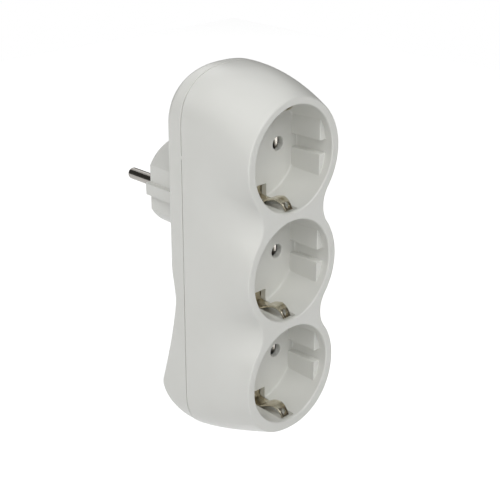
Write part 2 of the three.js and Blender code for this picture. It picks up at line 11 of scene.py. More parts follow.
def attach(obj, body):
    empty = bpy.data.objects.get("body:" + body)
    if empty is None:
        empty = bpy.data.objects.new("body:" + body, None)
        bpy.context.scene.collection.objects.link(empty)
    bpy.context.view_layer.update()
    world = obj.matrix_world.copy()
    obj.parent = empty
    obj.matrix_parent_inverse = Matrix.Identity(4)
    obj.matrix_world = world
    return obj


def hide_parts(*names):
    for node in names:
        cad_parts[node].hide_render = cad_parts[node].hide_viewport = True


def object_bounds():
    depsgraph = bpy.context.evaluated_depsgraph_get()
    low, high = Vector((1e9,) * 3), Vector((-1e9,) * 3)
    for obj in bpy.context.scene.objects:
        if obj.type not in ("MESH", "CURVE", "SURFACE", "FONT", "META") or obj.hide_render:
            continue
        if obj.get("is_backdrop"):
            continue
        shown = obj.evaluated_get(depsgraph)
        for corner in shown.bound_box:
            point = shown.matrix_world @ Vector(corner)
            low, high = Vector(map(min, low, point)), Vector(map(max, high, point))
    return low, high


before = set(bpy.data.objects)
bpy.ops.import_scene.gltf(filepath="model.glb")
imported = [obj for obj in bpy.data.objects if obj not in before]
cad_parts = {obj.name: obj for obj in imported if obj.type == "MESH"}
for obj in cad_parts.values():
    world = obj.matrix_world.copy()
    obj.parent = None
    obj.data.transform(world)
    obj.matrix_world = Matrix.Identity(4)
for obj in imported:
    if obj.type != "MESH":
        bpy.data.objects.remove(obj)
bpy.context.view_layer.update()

MM = 0.001

# Arrangement, with depths from the front face
socket_pitch = 43.8
plug_above_middle = 21.0
front_depth = 33.7
back_depth = 42.3
boss_height = 22.2
wall = 2.2

# Outline where the two mouldings meet
seam_half_width = 25.2
shoulder_above_top = 9.0
crown_height = 21.2
hip_below_bottom = 12.0
chin_height = 21.1
seam_roundness = 2.44
seam_gap = 0.35
seam_gap_depth = 0.8
seam_edge_radius = 0.18
seam_pip_height = 1.3
seam_pip_above_middle = 42.4

# Three-lobed front face
lobe_radius = 23.7
waist_half_width = 16.1
top_lobe_reach = 23.0
bottom_lobe_reach = 24.0
top_lobe_roundness = 1.94
bottom_lobe_roundness = 2.13
face_edge_radius = 0.6
waist_fade = 2.5
crown_rise = 2.14
chin_rise = 1.35

# Back of the rear cover
back_edge_radius = 2.8
foot_depth = 49.8
foot_start_below_middle = 56.5
foot_ramp_power = 1.31
waist_depth = 40.5
waist_below_middle = 17.5
waist_reach = 15.0
crown_edge_depth = 5.7
crown_edge_height = 5.1
chin_edge_depth = 14.1
chin_edge_height = 12.5

# Socket wells
opening_radius = 20.1
floor_radius = 19.6
well_depth = 17.9
lip_radius = 0.7
floor_corner_radius = 0.8
well_wall = 2.0
floor_thickness = 2.5
pin_spacing = 19.0
pin_hole_radius = 2.75
pin_hole_edge = 0.25

# Guide ribs on the left and right walls of each well
rib_flat = 16.75
rib_groove_half = 2.6
rib_front_depth = 3.4
rib_edge_radius = 0.35

# Slots and notches for the earth springs
slot_half_width = 3.3
slot_start = 14.2
notch_radius = 21.2
notch_front_depth = 1.4

# Plug boss and pins
boss_radius = 18.45
boss_flat = 16.1
boss_end_flat = 15.7
boss_draft = 0.3
boss_rim_radius = 1.8
tongue_half_height = 2.3
boss_wall = 2.4
boss_end_thickness = 4.0
pin_radius = 2.4
pin_length = 19.0
pin_nose_length = 2.0
rivet_radius = 1.5
rivet_head_radius = 2.4
rivet_head_thickness = 0.7

# Earth springs: along the wall of the well, in to where they touch a plug, and out to a tip with a hole.
# Each corner is its depth and its distance from the middle of the socket.
spring_width = 6.0
spring_tip_width = 3.6
spring_thickness = 0.7
spring_wall_gap = 0.1
spring_seat_inset = 0.7
spring_bend_depth = 14.6
spring_knee = (12.2, 18.0)
spring_touch = (7.6, 16.5)
spring_heel = (4.8, 17.6)
spring_tip = (2.9, 20.3)
spring_hole_share = 0.36
spring_hole_radius = 1.05
spring_bend_radius = 1.4

# Live and neutral contacts
clip_width = 6.0
clip_thickness = 0.6
clip_setback = 0.5
clip_grip_reach = 1.45
clip_grip_taper = 4.0
clip_pinch = 0.9
clip_play = 1.0
clip_back_gap = 2.6
rail_setback = 1.0

# Earth path to the plug
strip_thickness = 0.8
plug_earth_width = 5.4
plug_earth_radius = 16.6
plug_earth_foot_reach = 8.0
plug_earth_end_setback = 1.6
plug_earth_notch_end = 1.0
plug_earth_notch_root = 1.2

# Screws
screw_radius = 1.5
screw_core_radius = 1.1
screw_pitch = 1.1
screw_plain_length = 2.5
screw_head_radius = 2.9
screw_head_height = 2.2
screw_head_rim = 1.2
screw_length = 14.0
screw_point_length = 2.0
screw_point_radius = 0.6
screw_post_wall = 1.9
screw_seat_wall = 0.95
screw_sink_depth = 3.4
top_screw_inset = 9.0
top_screw_below_crown = 9.9
lower_screw_inset = 6.3
cross_width = 0.9
cross_length = 3.6
cross_depth = 1.2

# Edges and clearances that several pieces share
sheet_edge_radius = 0.13
fit_gap = 0.3
seat_gap = 0.2

# Fineness of the curved surfaces
cap_steps = 32
side_steps = 108
body_rings = 30
edge_rings = 8
seam_edge_rings = 4
front_hollow_rings = 8
rear_hollow_rings = 6
back_rings = 26
back_columns = 30
well_steps = 144
floor_corner_steps = 4
hole_steps = 48
screw_steps = 40
pin_steps = 64
pin_nose_steps = 12
bend_steps = 7
bevel_segments = 3
sharp_edge = radians(40)
sharp_shading = radians(32)
large_face_weight = 90
merge_distance = 1e-4

# Values that follow from the sizes above
front_y = -(back_depth + boss_height)
end_depth = -front_y
middle_z = -plug_above_middle
top_z = middle_z + socket_pitch
bottom_z = middle_z - socket_pitch
sockets = {"top": top_z, "middle": middle_z, "bottom": bottom_z}
sides = {"left": -1, "right": 1}
ends = {"upper": 1, "lower": -1}
pin_x = pin_spacing / 2
floor_back = well_depth + floor_thickness
spring_base_depth = floor_back + seat_gap
earth_rail_depth = spring_base_depth + spring_thickness + seat_gap
clip_front_depth = floor_back + clip_setback
clip_back_depth = back_depth - wall - clip_back_gap
clip_leaf_offset = pin_radius + clip_play + clip_thickness / 2
tab_depth = clip_back_depth - rail_setback - strip_thickness
screw_seat_radius = screw_head_radius + fit_gap

# Camera, worked out from the round openings in the photograph, in degrees and millimetres
camera_azimuth = 44.618
camera_elevation = 22.673
camera_roll = 0.152
camera_distance = 403.5
camera_target = Vector((-22.94, -64.5, -5.78))
camera_lens = 81.44
camera_sensor = 36.0
camera_near_limit = 0.01

# Studio, in metres. Azimuths run from the front towards the left side.
floor_below_part = 0.045
floor_half_size = 0.75
floor_glow = 0.8
floor_colour = (0.72, 0.72, 0.72)
room_light = 0.04
light_distance = 1.1
light_size = 0.8
light_centre = Vector((0, -0.04, -0.022))

# Each soft light's azimuth, elevation and power in watts
soft_lights = {
    "front_high": (0, 45, 4.6),
    "left_front_high": (45, 45, 2.7),
    "left_front_low": (45, 8, 2.3),
    "left_high": (90, 45, 0.8),
    "left_low": (90, 8, 1.0),
    "left_rear_high": (135, 45, 2.9),
    "left_rear_low": (135, 8, 0.9),
    "right_rear_high": (225, 45, 1.0),
    "rear_card": (195, 32, 1.7),
}
lights_out_of_reflections = ("left_rear_high", "left_rear_low")
lights_only_in_reflections = ("rear_card",)
room_wall_distance = 2.0
room_wall_height = 3.0
room_wall_steps = 64
room_wall_colour = (0.06, 0.057, 0.052)
room_wall_roughness = 0.9


# Camera and stage

def add_camera():
    turn = Matrix.Rotation(-radians(camera_azimuth), 4, "Z")
    tilt = Matrix.Rotation(radians(90 - camera_elevation), 4, "X")
    roll = Matrix.Rotation(radians(camera_roll), 4, "Z")
    facing = turn @ tilt @ roll
    data = bpy.data.cameras.new("camera")
    data.lens = camera_lens
    data.sensor_width = camera_sensor
    data.clip_start = camera_near_limit
    camera = bpy.data.objects.new("camera", data)
    place = camera_target + facing @ Vector((0, 0, camera_distance))
    camera.matrix_world = Matrix.Translation(place * MM) @ facing
    bpy.context.scene.collection.objects.link(camera)
    bpy.context.scene.camera = camera


def add_soft_light(name, azimuth, elevation, power):
    data = bpy.data.lights.new(name, "AREA")
    data.shape = "DISK"
    data.size = light_size
    data.energy = power
    light = bpy.data.objects.new(name, data)
    light.visible_glossy = name not in lights_out_of_reflections
    light.visible_diffuse = name not in lights_only_in_reflections
    turned = radians(azimuth)
    raised = radians(elevation)
    outwards = Vector((-sin(turned) * cos(raised), -cos(turned) * cos(raised), sin(raised)))
    turn = (-outwards).to_track_quat("-Z", "Y").to_matrix().to_4x4()
    light.matrix_world = Matrix.Translation(light_centre + outwards * light_distance) @ turn
    bpy.context.scene.collection.objects.link(light)


def add_node(tree, kind, **settings):
    node = tree.nodes.new(kind)
    for name, value in settings.items():
        setattr(node, name, value)
    return node


def calculated(tree, operation, first, second):
    """The output of a Math node whose inputs are sockets or numbers."""
    node = add_node(tree, "ShaderNodeMath", operation=operation)
    for socket, value in zip(node.inputs, (first, second)):
        if isinstance(value, (int, float)):
            socket.default_value = value
        else:
            tree.links.new(value, socket)
    return node.outputs[0]


def seen_directly(tree):
    """1 for rays from the camera, from a reflection or through glass, and 0 for light on objects."""
    path = tree.nodes.new("ShaderNodeLightPath")
    seen = calculated(tree, "MAXIMUM", path.outputs["Is Camera Ray"], path.outputs["Is Glossy Ray"])
    return calculated(tree, "MAXIMUM", seen, path.outputs["Is Transmission Ray"])


def set_world():
    world = bpy.data.worlds.new("studio")
    bpy.context.scene.world = world
    world.use_nodes = True
    tree = world.node_tree
    background = tree.nodes["Background"]
    background.inputs["Color"].default_value = (1.0, 1.0, 1.0, 1.0)
    strength = calculated(tree, "MAXIMUM", seen_directly(tree), room_light)
    tree.links.new(strength, background.inputs["Strength"])


def add_stage(name, bm):
    mesh = bpy.data.meshes.new(name)
    bm.to_mesh(mesh)
    bm.free()
    stage = bpy.data.objects.new(name, mesh)
    bpy.context.scene.collection.objects.link(stage)
    stage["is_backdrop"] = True
    return stage


def add_floor():
    bm = bmesh.new()
    bmesh.ops.create_grid(bm, x_segments=2, y_segments=2, size=floor_half_size)
    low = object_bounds()[0]
    bmesh.ops.translate(bm, verts=bm.verts, vec=(0, 0, low[2] - floor_below_part))
    floor = add_stage("floor", bm)
    material = bpy.data.materials.new("white_floor")
    material.use_nodes = True
    tree = material.node_tree
    tree.nodes.clear()
    output = tree.nodes.new("ShaderNodeOutputMaterial")
    diffuse = tree.nodes.new("ShaderNodeBsdfDiffuse")
    diffuse.inputs["Color"].default_value = (*floor_colour, 1)
    glow = tree.nodes.new("ShaderNodeEmission")
    tree.links.new(calculated(tree, "MULTIPLY", seen_directly(tree), floor_glow), glow.inputs["Strength"])
    both = tree.nodes.new("ShaderNodeAddShader")
    tree.links.new(diffuse.outputs[0], both.inputs[0])
    tree.links.new(glow.outputs[0], both.inputs[1])
    tree.links.new(both.outputs[0], output.inputs["Surface"])
    floor.data.materials.append(material)


def add_dark_wall():
    """The dim room round the floor, which only shows in what reflects it."""
    bm = bmesh.new()
    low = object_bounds()[0][2] - floor_below_part
    place = Matrix.Translation((0, 0, low + room_wall_height / 2))
    bmesh.ops.create_cone(bm, cap_ends=False, segments=room_wall_steps, radius1=room_wall_distance,
                          radius2=room_wall_distance, depth=room_wall_height, matrix=place)
    room = add_stage("room_wall", bm)
    room.visible_camera = False
    room.visible_diffuse = False
    room.visible_shadow = False
    room.visible_transmission = False
    material = bpy.data.materials.new("dim_wall")
    material.use_nodes = True
    shader = material.node_tree.nodes["Principled BSDF"]
    shader.inputs["Base Color"].default_value = (*room_wall_colour, 1)
    shader.inputs["Roughness"].default_value = room_wall_roughness
    shader.inputs["Emission Color"].default_value = (*room_wall_colour, 1)
    shader.inputs["Emission Strength"].default_value = 1.0
    room.data.materials.append(material)


# Solids from bmesh operators

def solid(name, bm):
    """An object holding the closed mesh, with its faces pointing out."""
    bmesh.ops.remove_doubles(bm, verts=bm.verts, dist=merge_distance)
    bmesh.ops.recalc_face_normals(bm, faces=bm.faces)
    if bm.calc_volume(signed=True) < 0:
        bmesh.ops.reverse_faces(bm, faces=bm.faces)
    mesh = bpy.data.meshes.new(name)
    bm.to_mesh(mesh)
    bm.free()
    made = bpy.data.objects.new(name, mesh)
    bpy.context.scene.collection.objects.link(made)
    return made


def bent_sheet(bm, rows, columns, place):
    """A grid whose corner at row i and column j is put at place(i, j)."""
    grid = bmesh.ops.create_grid(bm, x_segments=columns, y_segments=rows, size=0.5)["verts"]
    for vert in grid:
        row = round((vert.co.y + 0.5) * rows)
        column = round((vert.co.x + 0.5) * columns)
        vert.co = place(row, column)


def close_openings(bm):
    bmesh.ops.remove_doubles(bm, verts=bm.verts, dist=merge_distance)
    open_edges = [edge for edge in bm.edges if edge.is_boundary]
    bmesh.ops.holes_fill(bm, edges=open_edges, sides=0)


def spun(name, profile, x, z, steps):
    """A turned solid from a profile of (radius, depth) that starts and ends on the axis."""
    bm = bmesh.new()
    corners = [bm.verts.new((radius, front_y + depth, 0)) for radius, depth in profile]
    edges = [bm.edges.new(pair) for pair in zip(corners, corners[1:])]
    bmesh.ops.spin(bm, geom=corners + edges, cent=(0, 0, 0), axis=(0, 1, 0), angle=2 * pi,
                   steps=steps, use_merge=True)
    bmesh.ops.translate(bm, verts=bm.verts, vec=(x, 0, z))
    return solid(name, bm)


def cylinder(name, radius, depth0, depth1, x, z, steps):
    return spun(name, [(0, depth0), (radius, depth0), (radius, depth1), (0, depth1)], x, z, steps)


def round_edges(bm, radius):
    """Rounds the sharp edges, and leaves the small steps of a curve alone."""
    if radius > 0:
        edges = [edge for edge in bm.edges if edge.calc_face_angle(0) > sharp_edge]
        bmesh.ops.bevel(bm, geom=edges, offset=radius, offset_type="OFFSET", affect="EDGES",
                        segments=bevel_segments, profile=0.5, material=-1, clamp_overlap=True)


def block(name, x0, x1, depth0, depth1, z0, z1, radius=0.0):
    bm = bmesh.new()
    size = Matrix.Diagonal((abs(x1 - x0), abs(depth1 - depth0), abs(z1 - z0), 1))
    centre = Vector(((x0 + x1) / 2, front_y + (depth0 + depth1) / 2, (z0 + z1) / 2))
    bmesh.ops.create_cube(bm, size=1, matrix=Matrix.Translation(centre) @ size)
    round_edges(bm, radius)
    return solid(name, bm)


def prism(name, outline, low, high, along, radius=0.0):
    """An outline extruded along Z, as (x, depth), or along X, as (depth, z)."""
    bm = bmesh.new()
    if along == "Z":
        corners = [bm.verts.new((a, front_y + b, low)) for a, b in outline]
        step = Vector((0, 0, high - low))
    else:
        corners = [bm.verts.new((low, front_y + a, b)) for a, b in outline]
        step = Vector((high - low, 0, 0))
    face = bm.faces.new(corners)
    grown = bmesh.ops.extrude_face_region(bm, geom=[face], use_keep_orig=True)["geom"]
    moved = [item for item in grown if isinstance(item, bmesh.types.BMVert)]
    bmesh.ops.translate(bm, verts=moved, vec=step)
    bmesh.ops.recalc_face_normals(bm, faces=bm.faces)
    round_edges(bm, radius)
    return solid(name, bm)


def with_others(base, others, operation):
    """The base joined with the others or cut by them. The others are used up."""
    for other in others:
        modifier = base.modifiers.new("meeting", "BOOLEAN")
        modifier.operation = operation
        modifier.solver = "MANIFOLD"
        modifier.object = other
    bpy.context.view_layer.update()
    mesh = bpy.data.meshes.new_from_object(base.evaluated_get(bpy.context.evaluated_depsgraph_get()))
    base.modifiers.clear()
    base.data = mesh
    for other in others:
        bpy.data.objects.remove(other)
    return base


def joined(base, *others):
    return with_others(base, others, "UNION")


def cut(base, *others):
    return with_others(base, others, "DIFFERENCE")


def arc(centre, radius, start, end, steps):
    """Points of (a, b) round a centre, from one angle to another in degrees."""
    angles = [radians(start + (end - start) * i / steps) for i in range(steps + 1)]
    return [(centre[0] + radius * cos(angle), centre[1] + radius * sin(angle)) for angle in angles]


# Outline of the mouldings

def mixed(a, b, share):
    return a + (b - a) * share


def eased(share):
    return share * share * (3 - 2 * share)


def clamped(value):
    return min(max(value, 0.0), 1.0)


def cap_point(half_width, height, centre_z, roundness, angle):
    """A point on the rounded top or bottom end of a section, at an angle up from its widest line."""
    power = 2 / roundness
    across = max(cos(angle), 0) ** power
    up = abs(sin(angle)) ** power * (1 if angle > 0 else -1)
    return (half_width * across, centre_z + height * up)


def lobed_half_width(height):
    """Half-width of the face at a height above the middle socket's centre."""
    nearest = min(abs(height), abs(abs(height) - socket_pitch))
    half = socket_pitch / 2
    rise = lobe_radius ** 2 - waist_half_width ** 2 - half ** 2
    fillet_radius = -rise / (2 * (lobe_radius - waist_half_width))
    fillet_x = waist_half_width + fillet_radius
    tangent_height = lobe_radius * half / (lobe_radius + fillet_radius)
    if nearest < tangent_height:
        return sqrt(lobe_radius ** 2 - nearest ** 2)
    return fillet_x - sqrt(fillet_radius ** 2 - (half - nearest) ** 2)


def half_outline(u):
    """Points up the right side of the face, u = 0, of the seam, u = 1, or of a section between them."""
    lobed = (1 - u) ** waist_fade
    crown = 1 - (1 - u) ** crown_rise
    chin = 1 - (1 - u) ** chin_rise
    half_width = mixed(lobe_radius, seam_half_width, u)
    top_roundness = mixed(top_lobe_roundness, seam_roundness, u)
    bottom_roundness = mixed(bottom_lobe_roundness, seam_roundness, u)
    top_centre = top_z + shoulder_above_top * crown
    bottom_centre = bottom_z - hip_below_bottom * chin
    top_height = mixed(top_lobe_reach, crown_height, crown)
    bottom_height = mixed(bottom_lobe_reach, chin_height, chin)
    points = []
    for i in range(cap_steps):
        angle = (i / cap_steps - 1) * pi / 2
        points.append(cap_point(half_width, bottom_height, bottom_centre, bottom_roundness, angle))
    for i in range(side_steps + 1):
        share = i / side_steps
        drop = (lobe_radius - lobed_half_width(mixed(-socket_pitch, socket_pitch, share))) * lobed
        points.append((half_width - drop, mixed(bottom_centre, top_centre, share)))
    for i in range(1, cap_steps + 1):
        angle = i / cap_steps * pi / 2
        points.append(cap_point(half_width, top_height, top_centre, top_roundness, angle))
    return points


def section(u, inset_at):
    """The whole ring of (x, z), moved inwards by an inset that may vary with the height."""
    half = half_outline(u)
    moved = []
    for i, (x, z) in enumerate(half):
        before = half[i - 1] if i > 0 else (-half[1][0], half[1][1])
        after = half[i + 1] if i + 1 < len(half) else (-half[i - 1][0], half[i - 1][1])
        length = hypot(after[0] - before[0], after[1] - before[1])
        normal = ((after[1] - before[1]) / length, -(after[0] - before[0]) / length)
        inset = inset_at(z)
        moved.append((max(x - normal[0] * inset, 0), z - normal[1] * inset))
    return moved + [(-x, z) for x, z in moved[-2:0:-1]]


def flat_ring(u, inset, depth):
    return [Vector((x, front_y + depth, z)) for x, z in section(u, lambda height: inset)]


def skin(bm, rings):
    count = len(rings[0])
    bent_sheet(bm, len(rings) - 1, count, lambda row, column: rings[row][column % count])


# Front housing

def front_outside():
    rings = []
    for i in range(edge_rings + 1):
        angle = i / edge_rings * pi / 2
        depth = face_edge_radius * (1 - cos(angle))
        rings.append(flat_ring(depth / front_depth, face_edge_radius * (1 - sin(angle)), depth))
    body_end = front_depth - seam_gap / 2 - seam_edge_radius
    for i in range(1, body_rings + 1):
        depth = mixed(face_edge_radius, body_end, i / body_rings)
        rings.append(flat_ring(depth / front_depth, 0, depth))
    rings += seam_edge(1)
    bm = bmesh.new()
    skin(bm, rings)
    close_openings(bm)
    return solid("front_outside", bm)


def seam_edge(direction):
    """Rings round the rim of one moulding at the seam: a small round, and a step in to where the two meet."""
    rings = []
    for i in range(1, seam_edge_rings + 1):
        angle = i / seam_edge_rings * pi / 2
        inset = seam_edge_radius * (1 - cos(angle))
        reach = seam_gap / 2 + seam_edge_radius * (1 - sin(angle))
        rings.append(flat_ring(1, inset, front_depth - direction * reach))
    rings.append(flat_ring(1, seam_gap_depth, front_depth - direction * seam_gap / 2))
    rings.append(flat_ring(1, seam_gap_depth, front_depth))
    return rings


def front_hollow():
    rings = []
    for i in range(front_hollow_rings + 1):
        depth = mixed(wall, front_depth, i / front_hollow_rings)
        rings.append(flat_ring(depth / front_depth, wall, depth))
    rings.append(flat_ring(1, wall, front_depth + wall))
    bm = bmesh.new()
    skin(bm, rings)
    close_openings(bm)
    return solid("front_hollow", bm)


def guide_rib(side, half):
    """One of a well's four guide ribs, with a flat front end."""
    reach = side * (opening_radius + 2 * lip_radius)
    back = well_depth + wall
    outline = [
        (side * rib_flat, back),
        (side * rib_flat, rib_front_depth),
        (reach, rib_front_depth),
        (reach, back),
    ]
    low, high = sorted((half * rib_groove_half, half * opening_radius))
    return prism("guide_rib", outline, low, high, "Z", rib_edge_radius)


def well():
    """The air in one socket, with its ribs left out and its notches, slots and pin holes added."""
    profile = [(0, well_depth)]
    profile += arc((floor_radius - floor_corner_radius, well_depth - floor_corner_radius),
                   floor_corner_radius, 90, 0, floor_corner_steps)
    profile += arc((opening_radius + lip_radius, lip_radius), lip_radius, 180, 270, edge_rings)
    profile += [(opening_radius + lip_radius, -wall), (0, -wall)]
    air = spun("well", profile, 0, 0, well_steps)
    air = cut(air, *[guide_rib(side, half) for side in sides.values() for half in ends.values()])
    extras = []
    for direction in ends.values():
        low, high = sorted((direction * slot_start, direction * notch_radius))
        extras.append(block("notch", -slot_half_width, slot_half_width, notch_front_depth,
                            floor_back + wall, low, high, rib_edge_radius))
    for side in sides.values():
        reach = pin_hole_radius + pin_hole_edge
        hole = [
            (0, well_depth - wall),
            (reach, well_depth - wall),
            (reach, well_depth),
            (pin_hole_radius, well_depth + pin_hole_edge),
            (pin_hole_radius, floor_back + wall),
            (0, floor_back + wall),
        ]
        extras.append(spun("pin_hole", hole, side * pin_x, 0, hole_steps))
    return joined(air, *extras)


def moved_copy(source, name, vec):
    copy = bpy.data.objects.new(name, source.data.copy())
    copy.data.transform(Matrix.Translation(vec))
    bpy.context.scene.collection.objects.link(copy)
    return copy


def screw_places():
    top_x = seam_half_width - top_screw_inset
    top_screw_z = top_z + shoulder_above_top + crown_height - top_screw_below_crown
    lower_x = seam_half_width - lower_screw_inset
    lower_screw_z = middle_z - socket_pitch / 2
    return {
        "top_left": (-top_x, top_screw_z),
        "top_right": (top_x, top_screw_z),
        "lower_left": (-lower_x, lower_screw_z),
        "lower_right": (lower_x, lower_screw_z),
    }


def seam_pip():
    """The small bridge across the groove of the seam, on the left side."""
    z = middle_z + seam_pip_above_middle
    half = seam_pip_height / 2
    start = front_depth - seam_gap / 2 - seam_edge_radius
    return block("seam_pip", -seam_half_width, -seam_half_width + 2 * seam_gap_depth, start,
                 front_depth + seam_gap / 2, z - half, z + half)


def make_front_housing():
    housing = front_outside()
    walls = []
    for z in sockets.values():
        walls.append(cylinder("well_wall", opening_radius + well_wall, -wall, floor_back, 0, z, well_steps))
    holes = []
    for x, z in screw_places().values():
        walls.append(cylinder("screw_post", screw_radius + screw_post_wall, wall, front_depth - seat_gap,
                              x, z, screw_steps))
        holes.append(cylinder("screw_hole", screw_radius + fit_gap, well_depth, front_depth + wall,
                              x, z, screw_steps))
    hollow = cut(front_hollow(), *walls)
    air = well()
    wells = [moved_copy(air, "well_air", (0, 0, z)) for z in sockets.values()]
    bpy.data.objects.remove(air)
    return joined(cut(housing, hollow, *wells, *holes), seam_pip())


# Rear cover

def back_profile(height):
    """Depth of the back at a height above the middle socket's centre."""
    if height >= -waist_below_middle:
        share = min((height + waist_below_middle) / waist_reach, 1)
        return mixed(waist_depth, back_depth, eased(share))
    share = min((-waist_below_middle - height) / (foot_start_below_middle - waist_below_middle), 1)
    return mixed(waist_depth, foot_depth, share ** foot_ramp_power)


def back_edge(z, side, crown, chin):
    """Size of the rounded back edge: small along the sides, large over the crown and under the chin."""
    up = clamped((z - top_z - shoulder_above_top) / crown_height)
    down = clamped((bottom_z - hip_below_bottom - z) / chin_height)
    return side + (crown - side) * eased(up) + (chin - side) * eased(down)


def rear_ring(angle, thickness):
    """A ring round the back edge, from the straight side, 0, to the flat of the back, a quarter turn."""
    bend = 1 - cos(angle)
    base = section(1, lambda z: 0)

    def inset(z):
        return thickness + back_edge(z, back_edge_radius, crown_edge_height, chin_edge_height) * bend

    ring = section(1, inset)
    places = []
    for (x, z), (_, base_z) in zip(ring, base):
        edge = back_edge(base_z, back_edge_radius, crown_edge_depth, chin_edge_depth)
        depth = back_profile(z - middle_z) - thickness - edge * (1 - sin(angle))
        places.append(Vector((x, front_y + max(depth, front_depth + seam_edge_radius + seam_gap / 2), z)))
    return places


def back_sheet(bm, ring):
    """The flat of the back, ruled from side to side between the two halves of the last ring."""
    count = len(ring)

    def place(row, column):
        right = ring[row]
        left = ring[(count - row) % count]
        return left.lerp(right, column / back_columns)

    bent_sheet(bm, count // 2, back_columns, place)


def rear_outside():
    rings = list(reversed(seam_edge(-1)))
    rings.append(flat_ring(1, 0, front_depth + seam_gap / 2 + seam_edge_radius))
    for i in range(back_rings + 1):
        rings.append(rear_ring(i / back_rings * pi / 2, 0))
    bm = bmesh.new()
    skin(bm, rings)
    back_sheet(bm, rings[-1])
    close_openings(bm)
    bmesh.ops.dissolve_degenerate(bm, dist=merge_distance, edges=bm.edges)
    return solid("rear_outside", bm)


def rear_hollow():
    rings = [flat_ring(1, wall, front_depth - wall)]
    for i in range(rear_hollow_rings + 1):
        rings.append(rear_ring(i / rear_hollow_rings * pi / 2, wall))
    bm = bmesh.new()
    skin(bm, rings)
    back_sheet(bm, rings[-1])
    close_openings(bm)
    bmesh.ops.dissolve_degenerate(bm, dist=merge_distance, edges=bm.edges)
    return solid("rear_hollow", bm)


def boss_rim(reach):
    """The rounded corner at the boss's end, for a wall that stands at a reach from the middle."""
    centre = (reach - boss_rim_radius, end_depth - boss_rim_radius)
    return arc(centre, boss_rim_radius, 0, 90, edge_rings)


def plug_boss():
    """The slightly tapered round boss, with a flat at each side and a tongue along the middle of it."""
    start = back_depth - wall
    beyond = boss_radius + wall
    profile = [(0, start), (boss_radius, start), *boss_rim(boss_radius - boss_draft), (0, end_depth)]
    boss = spun("plug_boss", profile, 0, 0, well_steps)
    slices = []
    for side in sides.values():
        rim = [(side * reach, depth) for reach, depth in boss_rim(boss_end_flat)]
        top = (rim[-1][0], end_depth + wall)
        outline = [(side * boss_flat, start - wall), *rim, top, (side * beyond, end_depth + wall),
                   (side * beyond, start - wall)]
        for half in ends.values():
            low, high = sorted((half * tongue_half_height, half * boss_radius))
            slices.append(prism("boss_slice", outline, low, high, "Z"))
    return cut(boss, *slices)


def make_rear_cover():
    outer = joined(rear_outside(), plug_boss())
    posts = []
    holes = []
    for side in sides.values():
        holes.append(cylinder("pin_hole", pin_radius + fit_gap, back_depth - wall, end_depth + wall,
                              side * pin_x, 0, hole_steps))
    near = plug_earth_radius - strip_thickness / 2 - fit_gap
    far = plug_earth_radius + strip_thickness / 2 + fit_gap
    half = plug_earth_width / 2 + fit_gap
    notch_end = end_depth - plug_earth_notch_end
    for direction in ends.values():
        low, high = sorted((direction * near, direction * far))
        holes.append(block("earth_slot", -half, half, back_depth - 2 * wall, notch_end, low, high))
        low, high = sorted((direction * near, direction * (boss_radius + wall)))
        holes.append(block("earth_notch", -half, half, back_depth + plug_earth_notch_root, notch_end,
                           low, high, rib_edge_radius))
    for x, z in screw_places().values():
        back = back_profile(z - middle_z)
        posts.append(cylinder("screw_post", screw_seat_radius + screw_seat_wall, front_depth + seat_gap,
                              back - wall / 2, x, z, screw_steps))
        holes.append(cylinder("screw_hole", screw_radius + fit_gap, front_depth - wall, back + wall,
                              x, z, screw_steps))
        holes.append(cylinder("screw_seat", screw_seat_radius, back - screw_sink_depth, back + wall,
                              x, z, screw_steps))
    hollow = cut(rear_hollow(), *posts)
    boss_hollow = cylinder("boss_hollow", boss_end_flat - boss_wall, back_depth - 2 * wall,
                           end_depth - boss_end_thickness, 0, 0, well_steps)
    return cut(outer, hollow, boss_hollow, *holes)


# Metal parts

def bent_strip(corners, thickness, bend_radius):
    """The outline of a strip of even thickness, from the corners of its centre line."""
    corners = [Vector(corner) for corner in corners]
    line = [corners[0]]
    for before, corner, after in zip(corners, corners[1:], corners[2:]):
        back = before - corner
        ahead = after - corner
        reach = min(bend_radius, back.length / 2, ahead.length / 2)
        start = corner + back.normalized() * reach
        end = corner + ahead.normalized() * reach
        for i in range(bend_steps + 1):
            share = i / bend_steps
            line.append(start.lerp(corner, share).lerp(corner.lerp(end, share), share))
    line.append(corners[-1])
    line = [point for i, point in enumerate(line) if i == 0 or (point - line[i - 1]).length > merge_distance]
    near = []
    far = []
    for i, point in enumerate(line):
        along = (line[min(i + 1, len(line) - 1)] - line[max(i - 1, 0)]).normalized()
        across = Vector((-along.y, along.x)) * thickness / 2
        near.append(tuple(point + across))
        far.append(tuple(point - across))
    return far + near[::-1]


def make_plug_pin(side):
    tip = end_depth + pin_length
    head_back = tab_depth - seat_gap
    shoulder = tab_depth + strip_thickness + seat_gap
    profile = [
        (0, head_back - rivet_head_thickness),
        (rivet_head_radius, head_back - rivet_head_thickness),
        (rivet_head_radius, head_back),
        (rivet_radius, head_back),
        (rivet_radius, shoulder),
        (pin_radius, shoulder),
    ]
    for i in range(pin_nose_steps):
        angle = i / pin_nose_steps * pi / 2
        profile.append((pin_radius * cos(angle), tip - pin_nose_length * (1 - sin(angle))))
    profile.append((0, tip))
    return spun("plug_pin", profile, side * pin_x, 0, pin_steps)


def make_contact_clip(side, z):
    """A folded spring that grips a pin from both sides, open to the front."""
    grip = pin_radius - clip_pinch + clip_thickness / 2
    flare = pin_hole_radius + seat_gap
    grip_depth = clip_front_depth + clip_grip_reach
    leaf = [
        (clip_leaf_offset, clip_back_depth),
        (clip_leaf_offset, grip_depth + clip_grip_taper),
        (grip, grip_depth),
        (flare, clip_front_depth + clip_thickness / 2),
    ]
    other = [(-offset, depth) for offset, depth in reversed(leaf)]
    outline = bent_strip(other + leaf, clip_thickness, spring_bend_radius)
    outline = [(side * pin_x + offset, depth) for offset, depth in outline]
    return prism("contact_clip", outline, z - clip_width / 2, z + clip_width / 2, "Z", sheet_edge_radius)


